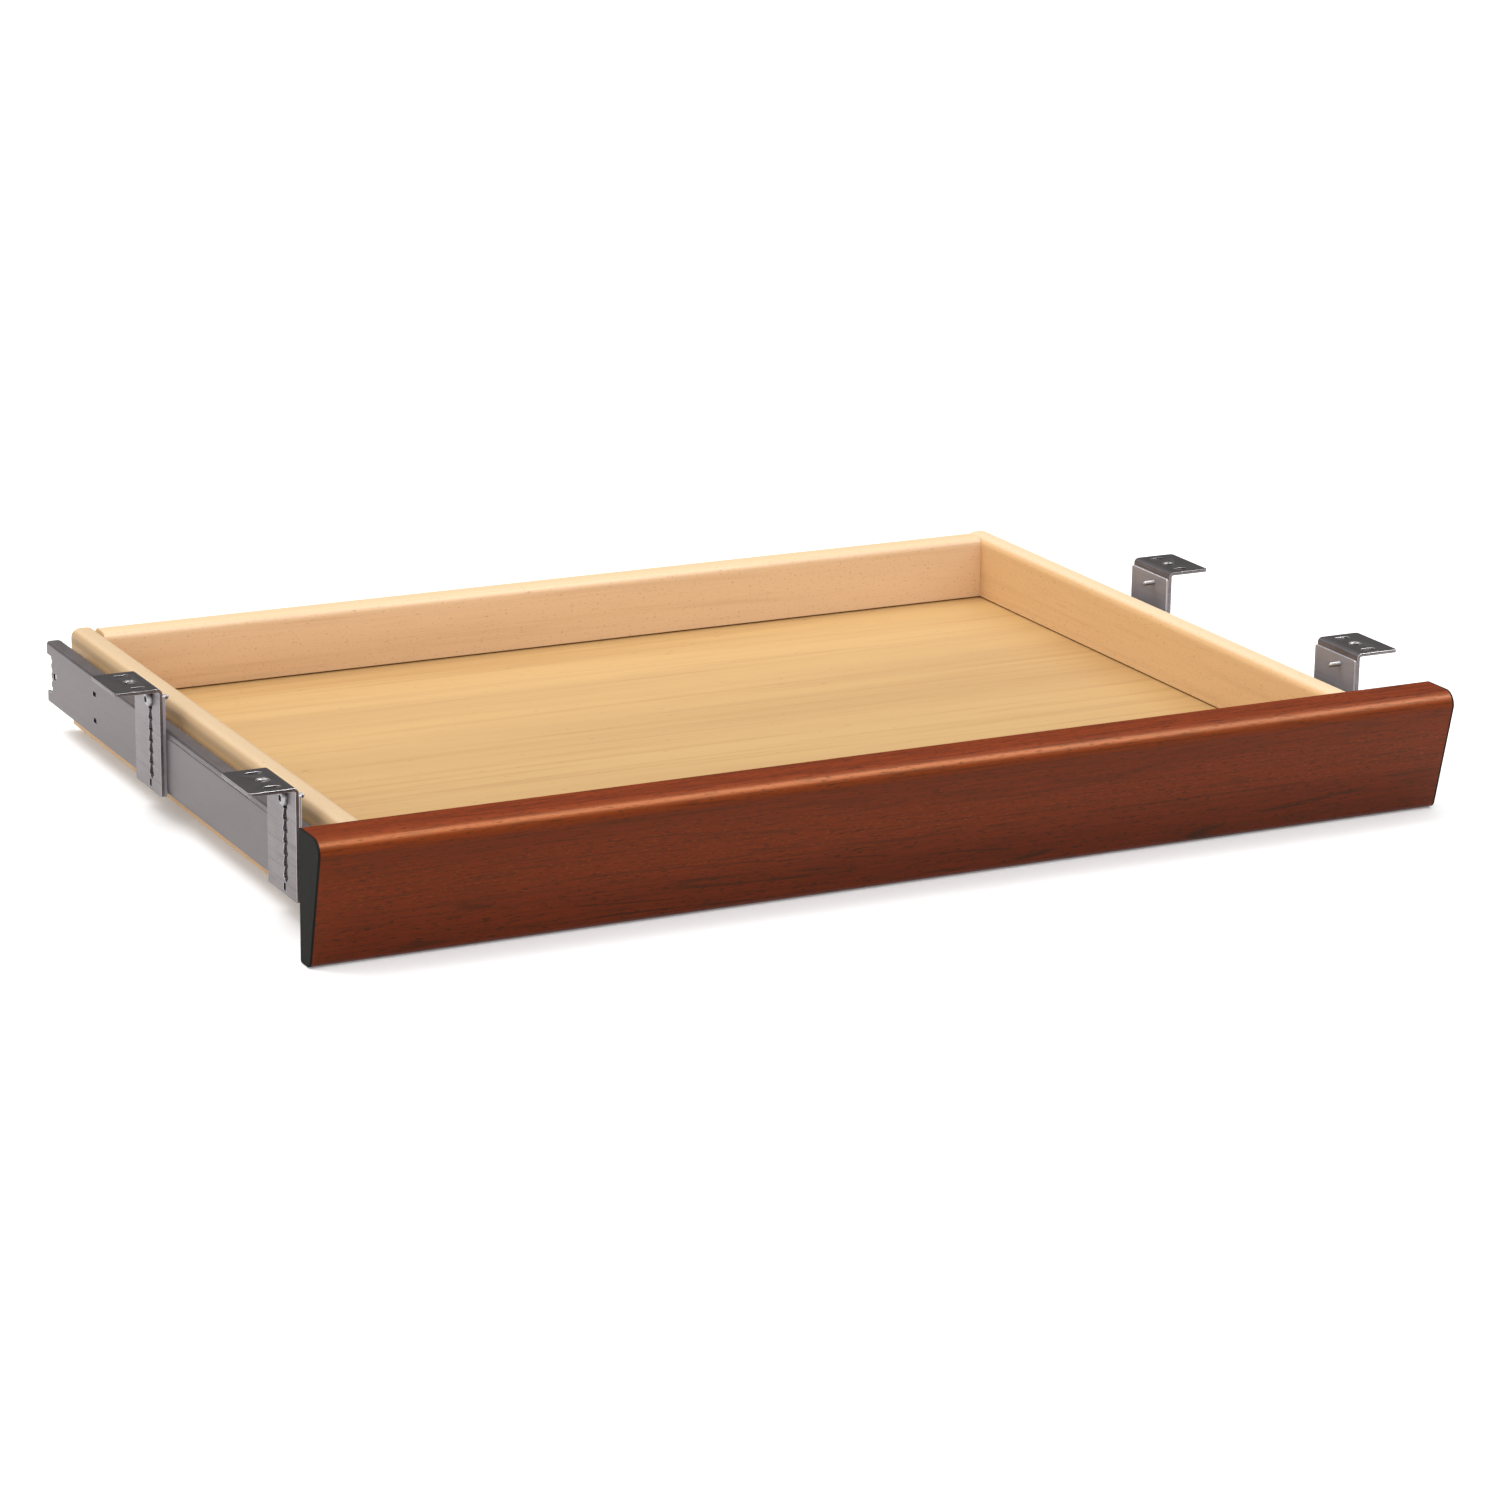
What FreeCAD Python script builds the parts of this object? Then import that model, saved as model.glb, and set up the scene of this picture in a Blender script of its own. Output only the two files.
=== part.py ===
"""Shallow under-desk centre drawer on ball-bearing slides, hung from four height-adjustable brackets.

Units are millimetres. +X is the drawer's width, -Y its front and the way it opens, +Z up.
The origin is the centre of the overall footprint, at the height of the front panel's lower edge.
Every piece is its own solid in its own STEP file; right-hand pieces are built first, and the
left-hand ones are their mirror images in the plane X = 0.
"""
import FreeCAD, Part
import math
import os

from FreeCAD import Vector

# ---- overall size -------------------------------------------------------------------------
drawer_depth = 390.5
slide_rear_overhang = 6.0
overall_depth = drawer_depth + slide_rear_overhang
overall_height = 63.5
flange_overhang = 7.6

# ---- front panel: flat back, front face leaning out towards the top ------------------------
panel_width = 558.8
panel_height = 58.5
panel_top_depth = 23.5
panel_bottom_depth = 10.0
panel_top_radius = 6.5
panel_bottom_radius = 3.5
panel_back_radius = 1.0
end_band_thickness = 1.0

# ---- drawer box ----------------------------------------------------------------------------
box_width = 506.0
box_bottom_z = 3.0
box_top_z = 50.5
side_thickness = 12.0
sub_front_thickness = 12.0
rear_thickness = 14.5
top_edge_radius = 4.2
floor_top_z = 18.2
floor_thickness = 5.0
groove_depth = 6.0
groove_play = 0.8

dowel_radius = 3.0
dowel_in_side = 8.0
dowel_in_rail = 16.0
dowel_heights = (25.0, 41.0)

# ---- ball-bearing slides: local u is the distance out from the box side --------------------
slide_thickness = 10.5
slide_height = 30.6
slide_centre_z = 28.8
slide_front_gap = 3.0
sheet = 1.2
web_bend_radius = 1.0
ball_radius = 2.0
ball_play = 0.03
ball_u = 5.2
lip_end_angle = 150.0
member_bend_radius = 1.5
member_flange_drop = 2.0
member_flange_end_u = 7.4
member_rear_gap = 15.0
cage_sheet = 0.5
cage_web_u = 8.6
cage_flange_end_u = 2.3
cage_length = 78.0
cage_start = 137.5
cage_pocket_play = 0.1
balls_per_row = 7
ball_pitch = 11.0

web_cut_back = 6.0
web_cut_half_height = 9.1
web_notch_radius = 1.2
web_notch_pitch = 4.55
web_notch_count = 4
pad_height = 0.5
pad_rim_radius = 0.4
pad_half_height = 12.4
pad_corner_radius = 4.0
pad_gap = 1.5
rail_hole_from_rear = (11.0, 69.4)
rail_hole_size = (4.6, 2.4)
rail_end_hole_size = (4.2, 3.2)

bumper_length = 7.0
bumper_half_height = 7.0
bumper_u = (1.5, 8.8)
bumper_radius = 1.5
bumper_foot_inset = 1.0

# ---- desk brackets and the clip plates that carry the slides -------------------------------
bracket_width = 34.0
front_bracket_y = -122.5
bracket_spacing_y = 168.5
bracket_sheet = 1.5
bracket_bend_radius = 2.4
bracket_bottom_z = 12.5
bracket_gap = 0.1
flange_hole_offset = 8.2
flange_hole_radius = 2.4
flange_hole_chamfer = 0.5
flange_slot_pitch = 22.0
flange_slot_length = 7.2
flange_slot_half_width = 1.6
flange_corner_radius = 1.5
leg_corner_radius = 1.0

serration_pitch = 5.2
serration_count = 7
serration_neck = 1.4
serration_bulge = 3.0
serration_rise = 0.8
slot_offset = -4.2
foot_hole_offset = -2.4
foot_hole_size = (2.6, 3.4)
foot_hole_z = 15.9

plate_sheet = 1.2
plate_width = 33.6
plate_top_z = 60.3
plate_bottom_z = 12.2
plate_corner_radius = 1.0
hook_size = (4.6, 2.4)
hook_height = 6.5

# ---- screws --------------------------------------------------------------------------------
clamp_screw_z = 55.9
clamp_screw_radius = 1.25
clamp_screw_reach = 6.0
clamp_head_radius = 3.5
clamp_head_height = 2.2
clamp_recess_radius = 1.5
clamp_recess_depth = 1.2
clamp_tip_chamfer = 0.4

wood_screw_radius = 1.7
wood_screw_head_radius = 3.4
wood_screw_head_height = 2.0
wood_screw_cross = (3.6, 0.9)
wood_screw_cross_depth = 1.1
slide_screw_depth = 9.5
slide_screw_from_front = (38.0, 182.0, 330.0)
panel_screw_x = (-190.0, -65.0, 65.0, 190.0)
panel_screw_z = 34.0
panel_screw_depth = 11.0

rim_share = 0.6          # a screw head's rim radius as a share of its height
cut_margin = 1.0         # how far a cutting shape passes a face, so that no skin is left

# ---- places worked out from the sizes above ------------------------------------------------
lean = math.atan2(panel_top_depth - panel_bottom_depth, panel_height)
corner_loss = panel_top_radius * (math.tan(lean) + 1.0 / math.cos(lean) - 1.0)
panel_back_y = -overall_depth / 2 + panel_top_depth - corner_loss
rear_y = drawer_depth - overall_depth / 2
box_half = box_width / 2
inside_half = box_half - side_thickness
rail_front_y = panel_back_y + slide_front_gap
rail_rear_y = rear_y + slide_rear_overhang
member_rear_y = rear_y - member_rear_gap
web_outer_x = box_half + slide_thickness
plate_outer_x = web_outer_x + plate_sheet
leg_inner_x = plate_outer_x + bracket_gap
leg_outer_x = leg_inner_x + bracket_sheet
flange_outer_x = panel_width / 2 + flange_overhang
flange_hole_x = leg_outer_x + flange_hole_offset
ball_z_offset = slide_height / 2 - sheet - ball_play - ball_radius
bracket_ys = {"front": front_bracket_y, "rear": front_bracket_y + bracket_spacing_y}

OUT = Vector(1, 0, 0)
BACK = Vector(0, 1, 0)
UP = Vector(0, 0, 1)


def block(x_range, y_range, z_range):
    """A box between two values on each axis."""
    size = [high - low for low, high in (x_range, y_range, z_range)]
    return Part.makeBox(*size, Vector(x_range[0], y_range[0], z_range[0]))


def rod(radius, start, direction, length):
    """A cylinder from a start point along a direction."""
    return Part.makeCylinder(radius, length, start, direction)


def polygon_prism(points, along):
    """The prism of a closed polygon moved along a vector."""
    return Part.Face(Part.makePolygon(list(points) + [points[0]])).extrude(along)


def fillet_edges(shape, radius, chosen):
    """Round the straight edges whose middle point passes a test."""
    edges = [edge for edge in shape.Edges if chosen(edge, edge.BoundBox.Center)]
    return shape.makeFillet(radius, edges)


def runs_along(edge, direction):
    """True for a straight edge parallel to a direction."""
    start, end = edge.firstVertex().Point, edge.lastVertex().Point
    return (end - start).cross(direction).Length < 1e-6 and (end - start).Length > 1e-6


def near(a, b):
    """True for two lengths that are equal but for rounding."""
    return abs(a - b) < 1e-4


def both_sides(name, right_shape):
    """A right-hand piece and its mirror image, by node name."""
    left_shape = right_shape.mirror(Vector(0, 0, 0), OUT)
    return {f"right_{name}": right_shape, f"left_{name}": left_shape}


# ---- sections of folded sheet --------------------------------------------------------------
def section_point(u, v):
    """A point of a slide section: u out from the box side, v up from the slide's middle."""
    return Vector(box_half + u, 0, slide_centre_z + v)


def section_arc(centre_u, centre_v, radius, start_deg, end_deg):
    """An arc of a slide section, by its centre, radius and two angles from +u towards +v."""
    angles = [math.radians(a) for a in (start_deg, (start_deg + end_deg) / 2, end_deg)]
    points = [section_point(centre_u + radius * math.cos(a), centre_v + radius * math.sin(a)) for a in angles]
    return Part.Arc(*points).toShape()


def section_line(start, end):
    """A straight stretch of a slide section between two (u, v) points."""
    return Part.LineSegment(section_point(*start), section_point(*end)).toShape()


def mirrored_down(edges):
    """The edges of a half section and their mirror images below the slide's middle."""
    middle = Vector(0, 0, slide_centre_z)
    return edges + [edge.mirror(middle, UP) for edge in edges]


def fold_sheet(edges, thickness, y_range):
    """Sheet metal that follows a section's centre line, extruded along the slide."""
    wire = Part.Wire(Part.__sortEdges__(edges))
    outline = wire.makeOffset2D(thickness / 2, 0, False, False, False)
    sheet_metal = Part.Face(outline).extrude(BACK * (y_range[1] - y_range[0]))
    sheet_metal.translate(BACK * y_range[0])
    return sheet_metal


# ---- drawer front --------------------------------------------------------------------------
def front_profile(x_start, length):
    """The front panel's section, extruded along X."""
    front_top = panel_back_y - panel_top_depth
    front_bottom = panel_back_y - panel_bottom_depth
    corners = [
        Vector(x_start, panel_back_y, 0),
        Vector(x_start, panel_back_y, panel_height),
        Vector(x_start, front_top, panel_height),
        Vector(x_start, front_bottom, 0),
    ]
    body = polygon_prism(corners, OUT * length)
    radii = {
        (front_top, panel_height): panel_top_radius,
        (front_bottom, 0): panel_bottom_radius,
        (panel_back_y, panel_height): panel_back_radius,
        (panel_back_y, 0): panel_back_radius,
    }
    for (y, z), radius in radii.items():
        body = fillet_edges(body, radius, lambda e, c: runs_along(e, OUT) and near(c.y, y) and near(c.z, z))
    return body


def front_panel():
    """The veneered panel between its two end bands, with pilot holes for its screws."""
    half = panel_width / 2 - end_band_thickness
    panel = front_profile(-half, 2 * half)
    for x in panel_screw_x:
        pilot = rod(wood_screw_radius, Vector(x, panel_back_y, panel_screw_z), -BACK, panel_screw_depth)
        panel = panel.cut(pilot)
    return panel


def end_bands():
    """The dark bands that close the panel's two ends."""
    return both_sides("end_band", front_profile(panel_width / 2 - end_band_thickness, end_band_thickness))


# ---- drawer box ----------------------------------------------------------------------------
def dowel_places():
    """Start point of each right-hand corner dowel, on the side's inner face, front and rear."""
    front_y = panel_back_y + sub_front_thickness / 2
    back_y = rear_y - rear_thickness / 2
    return [Vector(inside_half, y, z) for y in (front_y, back_y) for z in dowel_heights]


def right_dowels():
    """The four dowels of the right-hand corners."""
    length = dowel_in_side + dowel_in_rail
    return [rod(dowel_radius, p - OUT * dowel_in_rail, OUT, length) for p in dowel_places()]


def corner_dowels():
    """All eight corner dowels as one group."""
    right = right_dowels()
    return Part.makeCompound(right + [dowel.mirror(Vector(0, 0, 0), OUT) for dowel in right])


def floor_groove():
    """The space that the floor panel's edges run in, on all four sides."""
    reach_x = inside_half + groove_depth
    y_range = (panel_back_y + sub_front_thickness - groove_depth, rear_y - rear_thickness + groove_depth)
    z_range = (floor_top_z - floor_thickness, floor_top_z + groove_play)
    return block((-reach_x, reach_x), y_range, z_range)


def slide_screw_points():
    """Where the right-hand slide's screws enter the box side."""
    return [Vector(box_half, rail_front_y + d, slide_centre_z) for d in slide_screw_from_front]


def right_side():
    """The right-hand side board: rounded top edges, floor groove, dowel and screw holes."""
    board = block((inside_half, box_half), (panel_back_y, rear_y), (box_bottom_z, box_top_z))
    board = fillet_edges(board, top_edge_radius, lambda e, c: runs_along(e, BACK) and near(c.z, box_top_z))
    board = board.cut(floor_groove())
    for dowel in right_dowels():
        board = board.cut(dowel)
    for point in slide_screw_points():
        board = board.cut(rod(wood_screw_radius, point, -OUT, slide_screw_depth))
    return board


def cross_board(y_range):
    """A board set between the two sides, rounded on top, grooved for the floor."""
    board = block((-inside_half, inside_half), y_range, (box_bottom_z, box_top_z))
    board = fillet_edges(board, top_edge_radius, lambda e, c: runs_along(e, OUT) and near(c.z, box_top_z))
    return board.cut(floor_groove()).cut(corner_dowels())


def sub_front():
    """The box's own front, which the visible panel is screwed to."""
    board = cross_board((panel_back_y, panel_back_y + sub_front_thickness))
    for x in panel_screw_x:
        start = Vector(x, panel_back_y, panel_screw_z)
        board = board.cut(rod(wood_screw_radius, start, BACK, sub_front_thickness))
    return board


def floor_panel():
    """The thin floor, held in the groove with a little play above it."""
    inset = groove_play
    groove = floor_groove().BoundBox
    x_range = (groove.XMin + inset, groove.XMax - inset)
    y_range = (groove.YMin + inset, groove.YMax - inset)
    return block(x_range, y_range, (floor_top_z - floor_thickness, floor_top_z))


# ---- slides --------------------------------------------------------------------------------
def race_radius():
    """Radius of a race's centre line round the ball."""
    return ball_radius + ball_play + sheet / 2


def rect_hole(x_range, y, z, size):
    """A rectangular opening through a sheet that stands in the YZ plane, size along Y then Z."""
    return block(x_range, (y - size[0] / 2, y + size[0] / 2), (z - size[1] / 2, z + size[1] / 2))


def hook_heights():
    """The two heights where a clip plate hooks into the slide."""
    return (slide_centre_z - hook_height, slide_centre_z + hook_height)


def web_pad():
    """The raised pad stamped in the web between the two brackets."""
    y_start = bracket_ys["front"] + plate_width / 2 + pad_gap
    y_end = bracket_ys["rear"] - plate_width / 2 - pad_gap
    z_range = (slide_centre_z - pad_half_height, slide_centre_z + pad_half_height)
    pad = block((web_outer_x - sheet / 2, web_outer_x + pad_height), (y_start, y_end), z_range)
    pad = fillet_edges(pad, pad_corner_radius, lambda e, c: runs_along(e, OUT))
    rim = web_outer_x + pad_height
    return pad.makeFillet(pad_rim_radius, [e for e in pad.Edges if near(e.BoundBox.XMin, rim)])


def right_rail():
    """The outer slide member: a channel whose lips wrap the balls, open towards the box side."""
    race_v = slide_height / 2 - sheet / 2
    web_u = slide_thickness - sheet / 2
    bend_v = race_v - web_bend_radius
    race = race_radius()
    half = [
        section_line((web_u, 0), (web_u, bend_v)),
        section_arc(web_u - web_bend_radius, bend_v, web_bend_radius, 0, 90),
        section_line((web_u - web_bend_radius, race_v), (ball_u, race_v)),
        section_arc(ball_u, ball_z_offset, race, 90, lip_end_angle),
    ]
    rail = fold_sheet(mirrored_down(half), sheet, (rail_front_y, rail_rear_y))
    rail = rail.fuse(web_pad())
    web_x = (web_outer_x - 2 * sheet, web_outer_x + sheet)
    cut_z = (slide_centre_z - web_cut_half_height, slide_centre_z + web_cut_half_height)
    cut_y = rail_rear_y - web_cut_back
    rail = rail.cut(block(web_x, (cut_y, rail_rear_y + cut_margin), cut_z))
    lowest_notch_z = slide_centre_z - (web_notch_count - 1) / 2 * web_notch_pitch
    for i in range(web_notch_count):
        start = Vector(web_x[0], cut_y, lowest_notch_z + i * web_notch_pitch)
        rail = rail.cut(rod(web_notch_radius, start, OUT, 3 * sheet))
    end_hole_y = rail_rear_y - rail_hole_from_rear[0]
    rail = rail.cut(rect_hole(web_x, end_hole_y, slide_centre_z, rail_end_hole_size))
    hook_rows = list(bracket_ys.values()) + [rail_rear_y - rail_hole_from_rear[1]]
    for y in hook_rows:
        for z in hook_heights():
            rail = rail.cut(rect_hole(web_x, y, z, rail_hole_size))
    return rail.removeSplitter()


def right_member():
    """The inner slide member: a channel screwed to the box side, grooved under the balls."""
    race = race_radius()
    flange_v = ball_z_offset - member_flange_drop
    web_u = sheet / 2
    half_angle = math.degrees(math.acos(member_flange_drop / race))
    race_start_u = ball_u - race * math.sin(math.radians(half_angle))
    race_end_u = ball_u + race * math.sin(math.radians(half_angle))
    bend = member_bend_radius
    half = [
        section_line((web_u, 0), (web_u, flange_v - bend)),
        section_arc(web_u + bend, flange_v - bend, bend, 180, 90),
        section_line((web_u + bend, flange_v), (race_start_u, flange_v)),
        section_arc(ball_u, ball_z_offset, race, 270 - half_angle, 270 + half_angle),
        section_line((race_end_u, flange_v), (member_flange_end_u, flange_v)),
    ]
    member = fold_sheet(mirrored_down(half), sheet, (rail_front_y, member_rear_y))
    for point in slide_screw_points():
        member = member.cut(rod(wood_screw_radius, point, OUT, sheet))
    return member


def ball_centres():
    """Centres of the right-hand slide's balls: an upper and a lower row."""
    first = rail_front_y + cage_start + (cage_length - (balls_per_row - 1) * ball_pitch) / 2
    heights = (slide_centre_z - ball_z_offset, slide_centre_z + ball_z_offset)
    return [Vector(box_half + ball_u, first + i * ball_pitch, z) for z in heights for i in range(balls_per_row)]


def right_balls():
    """The right-hand slide's balls as one group."""
    return Part.makeCompound([Part.makeSphere(ball_radius, centre) for centre in ball_centres()])


def right_cage():
    """The strip that spaces the balls: a web and two flanges with a pocket for each ball."""
    start_y = rail_front_y + cage_start
    y_range = (start_y, start_y + cage_length)
    bend = cage_sheet
    half = [
        section_line((cage_web_u, 0), (cage_web_u, ball_z_offset - bend)),
        section_arc(cage_web_u - bend, ball_z_offset - bend, bend, 0, 90),
        section_line((cage_web_u - bend, ball_z_offset), (cage_flange_end_u, ball_z_offset)),
    ]
    cage = fold_sheet(mirrored_down(half), cage_sheet, y_range)
    for centre in ball_centres():
        pocket = rod(ball_radius + cage_pocket_play, centre - UP * ball_radius, UP, 2 * ball_radius)
        cage = cage.cut(pocket)
    return cage


def right_bumper():
    """The soft stop at the rear of the slide, behind the inner member."""
    x_range = [box_half + u for u in bumper_u]
    z_range = (slide_centre_z - bumper_half_height, slide_centre_z + bumper_half_height)
    start_y = member_rear_y + bracket_gap
    bumper = block(x_range, (start_y, start_y + bumper_length), z_range)
    bumper = fillet_edges(bumper, bumper_radius, lambda e, c: runs_along(e, OUT))
    foot_y = (start_y + bumper_foot_inset, start_y + bumper_length - bumper_foot_inset)
    foot = block((x_range[1], web_outer_x - sheet), foot_y, z_range)
    return bumper.fuse(foot).removeSplitter()


# ---- brackets ------------------------------------------------------------------------------
def serrated_slot(y):
    """The toothed slot that the clamp screw runs in: a row of upward arrowheads through the leg."""
    top = clamp_screw_z
    outline = []
    for i in range(serration_count):
        tooth_top = top - i * serration_pitch
        outline.append((serration_neck, tooth_top))
        outline.append((serration_bulge, tooth_top - serration_rise * serration_pitch))
    bottom = top - serration_count * serration_pitch
    outline.append((serration_neck, bottom))
    x = leg_inner_x - cut_margin
    depth = bracket_sheet + 2 * cut_margin
    right_edge = [Vector(x, y + w, z) for w, z in outline]
    left_edge = [Vector(x, y - w, z) for w, z in outline]
    zigzag = polygon_prism(right_edge + left_edge[::-1], OUT * depth)
    ends = [rod(serration_neck, Vector(x, y, z), OUT, depth) for z in (top, bottom)]
    return zigzag.fuse(ends)


def flange_slot(y):
    """A slot through the flange, long way along X, at the flange's hole line."""
    half_run = flange_slot_length / 2 - flange_slot_half_width
    bottom = overall_height - 2 * bracket_sheet
    ends_x = (flange_hole_x - half_run, flange_hole_x + half_run)
    width = (y - flange_slot_half_width, y + flange_slot_half_width)
    slot = block(ends_x, width, (bottom, overall_height + cut_margin))
    depth = overall_height + cut_margin - bottom
    return slot.fuse([rod(flange_slot_half_width, Vector(x, y, bottom), UP, depth) for x in ends_x])


def right_desk_bracket(y):
    """An angle bracket: a toothed leg outside the clip plate and a flange against the desk's underside."""
    centre_radius = bracket_bend_radius - bracket_sheet / 2
    leg_x = leg_inner_x + bracket_sheet / 2
    flange_z = overall_height - bracket_sheet / 2
    bend_x = leg_x + centre_radius
    bend_z = flange_z - centre_radius
    diagonal = centre_radius * math.sqrt(0.5)
    path = [
        Part.LineSegment(Vector(leg_x, 0, bracket_bottom_z), Vector(leg_x, 0, bend_z)).toShape(),
        Part.Arc(
            Vector(leg_x, 0, bend_z),
            Vector(bend_x - diagonal, 0, bend_z + diagonal),
            Vector(bend_x, 0, flange_z),
        ).toShape(),
        Part.LineSegment(Vector(bend_x, 0, flange_z), Vector(flange_outer_x, 0, flange_z)).toShape(),
    ]
    y_range = (y - bracket_width / 2, y + bracket_width / 2)
    bracket = fold_sheet(path, bracket_sheet, y_range)
    keep_z = (bracket_bottom_z, overall_height + cut_margin)
    keep = block((leg_inner_x - cut_margin, flange_outer_x), y_range, keep_z)
    bracket = bracket.common(keep)
    bracket = fillet_edges(
        bracket, flange_corner_radius, lambda e, c: runs_along(e, UP) and near(c.x, flange_outer_x))
    bracket = fillet_edges(
        bracket, leg_corner_radius, lambda e, c: runs_along(e, OUT) and near(c.z, bracket_bottom_z))
    hole_start = Vector(flange_hole_x, y, overall_height - 2 * bracket_sheet)
    bracket = bracket.cut(rod(flange_hole_radius, hole_start, UP, 3 * bracket_sheet))
    rim = Part.makeCone(
        flange_hole_radius, flange_hole_radius + flange_hole_chamfer, flange_hole_chamfer,
        Vector(flange_hole_x, y, overall_height - flange_hole_chamfer), UP)
    bracket = bracket.cut(rim)
    for offset in (-flange_slot_pitch / 2, flange_slot_pitch / 2):
        bracket = bracket.cut(flange_slot(y + offset))
    bracket = bracket.cut(serrated_slot(y + slot_offset))
    leg_through = (leg_inner_x - cut_margin, leg_outer_x + cut_margin)
    return bracket.cut(rect_hole(leg_through, y + foot_hole_offset, foot_hole_z, foot_hole_size))


def right_clip_plate(y):
    """The plate hooked to the slide's web, which the clamp screw pulls against the bracket's leg."""
    y_range = (y - plate_width / 2, y + plate_width / 2)
    plate = block((web_outer_x, plate_outer_x), y_range, (plate_bottom_z, plate_top_z))
    plate = fillet_edges(plate, plate_corner_radius, lambda e, c: runs_along(e, OUT))
    screw_start = Vector(web_outer_x, y + slot_offset, clamp_screw_z)
    plate = plate.cut(rod(clamp_screw_radius, screw_start, OUT, plate_sheet))
    for z in hook_heights():
        plate = plate.fuse(rect_hole((web_outer_x - sheet, web_outer_x), y, z, hook_size))
    return plate.removeSplitter()


# ---- screws --------------------------------------------------------------------------------
def pan_head(start, direction, radius, height):
    """A low domed head that grows from its seat along a direction."""
    head = rod(radius, start, direction, height)
    far = start + direction * height
    rims = [e for e in head.Edges if near((e.BoundBox.Center - far).Length, 0)]
    return head.makeFillet(height * rim_share, rims)


def right_clamp_screw(y):
    """The screw through the toothed slot: head outside the leg, thread through the clip plate."""
    screw_y = y + slot_offset
    head_start = Vector(leg_outer_x + bracket_gap, screw_y, clamp_screw_z)
    head = pan_head(head_start, OUT, clamp_head_radius, clamp_head_height)
    recess_start = head_start + OUT * (clamp_head_height - clamp_recess_depth)
    recess = rod(clamp_recess_radius, recess_start, OUT, clamp_recess_depth)
    tip_x = web_outer_x - clamp_screw_reach
    tip = Vector(tip_x, screw_y, clamp_screw_z)
    shank = rod(clamp_screw_radius, tip, OUT, head_start.x - tip_x)
    tip_edge = [e for e in shank.Edges if near(e.BoundBox.XMax, tip_x)]
    shank = shank.makeChamfer(clamp_tip_chamfer, tip_edge)
    return head.cut(recess).fuse(shank).removeSplitter()


def wood_screw(seat, outward, depth):
    """A cross-recessed pan-head wood screw: head on the seat, shank driven in against outward."""
    head = pan_head(seat, outward, wood_screw_head_radius, wood_screw_head_height)
    bottom = seat + outward * (wood_screw_head_height - wood_screw_cross_depth)
    across = outward.cross(UP)
    for long_way, short_way in ((across, UP), (UP, across)):
        half_long = long_way * (wood_screw_cross[0] / 2)
        half_short = short_way * (wood_screw_cross[1] / 2)
        corners = [
            bottom + half_long + half_short,
            bottom - half_long + half_short,
            bottom - half_long - half_short,
            bottom + half_long - half_short,
        ]
        head = head.cut(polygon_prism(corners, outward * wood_screw_cross_depth))
    return head.fuse(rod(wood_screw_radius, seat, -outward, depth)).removeSplitter()


def right_slide_screws():
    """The screws that hold the inner slide member to the box side."""
    screws = [wood_screw(p + OUT * sheet, OUT, sheet + slide_screw_depth) for p in slide_screw_points()]
    return Part.makeCompound(screws)


def panel_screws():
    """The screws through the sub-front into the front panel."""
    seat_y = panel_back_y + sub_front_thickness
    depth = sub_front_thickness + panel_screw_depth
    return Part.makeCompound([wood_screw(Vector(x, seat_y, panel_screw_z), BACK, depth) for x in panel_screw_x])


# ---- assembly ------------------------------------------------------------------------------
def build_nodes():
    """Every node's shape, by name."""
    nodes = {
        "front_panel": front_panel(),
        "sub_front": sub_front(),
        "rear_board": cross_board((rear_y - rear_thickness, rear_y)),
        "floor_panel": floor_panel(),
        "corner_dowels": corner_dowels(),
        "front_panel_screws": panel_screws(),
    }
    nodes.update(end_bands())
    nodes.update(both_sides("side_board", right_side()))
    nodes.update(both_sides("outer_slide", right_rail()))
    nodes.update(both_sides("inner_slide", right_member()))
    nodes.update(both_sides("ball_cage", right_cage()))
    nodes.update(both_sides("slide_balls", right_balls()))
    nodes.update(both_sides("slide_bumper", right_bumper()))
    nodes.update(both_sides("slide_screws", right_slide_screws()))
    for place, y in bracket_ys.items():
        nodes.update(both_sides(f"{place}_desk_bracket", right_desk_bracket(y)))
        nodes.update(both_sides(f"{place}_clip_plate", right_clip_plate(y)))
        nodes.update(both_sides(f"{place}_clamp_screw", right_clamp_screw(y)))
    return nodes


def main():
    """Write one STEP file for each node."""
    os.makedirs("parts", exist_ok=True)
    for name, shape in build_nodes().items():
        shape.exportStep(f"parts/{name}.step")
        box = shape.BoundBox
        print(f"{name:28s} solids {len(shape.Solids):2d} valid {shape.isValid()} volume {shape.Volume:10.1f}"
              f"  x {box.XMin:.2f}..{box.XMax:.2f}  y {box.YMin:.2f}..{box.YMax:.2f}  z {box.ZMin:.2f}..{box.ZMax:.2f}")


main()
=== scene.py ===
"""The looks of a shallow under-desk centre drawer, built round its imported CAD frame.

Metres, +X the drawer's width, -Y its front, +Z up. Each sub-assembly is a class that makes and dresses
its own pieces; each finish is a frozen dataclass that builds one procedural material.
"""
import logging
import math
from dataclasses import asdict, dataclass
from enum import Enum
from typing import Sequence

import bmesh
import bpy
from bpy.types import Material, Mesh, Object
from mathutils import Matrix, Vector


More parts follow.
